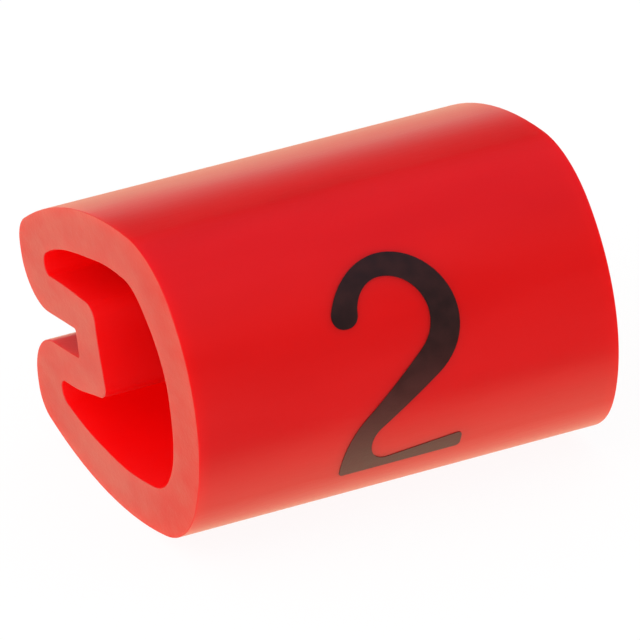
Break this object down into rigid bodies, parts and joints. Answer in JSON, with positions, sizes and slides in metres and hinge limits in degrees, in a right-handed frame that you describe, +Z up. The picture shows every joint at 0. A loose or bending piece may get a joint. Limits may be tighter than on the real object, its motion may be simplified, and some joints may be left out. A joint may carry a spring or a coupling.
{
  "type": "cable marker",
  "caption": "Slip-on cable marker: a short soft red PVC sleeve with an inward fold and slot along its back, and a plain black numeral on its rounded face.",
  "frame": {"origin": "on the floor under the middle of the sleeve's box, as it lies on one bowed side", "axes": "+X along the sleeve's length, which is the wire's direction, +Z up, and the marked face towards -Y"},
  "size_m": [0.0066, 0.0058, 0.0046],
  "materials": {
    "red_pvc": "satin soft PVC, coloured right through"
  },
  "bodies": {
    "root": {"marker_sleeve": "red_pvc"}
  },
  "joints": []
}
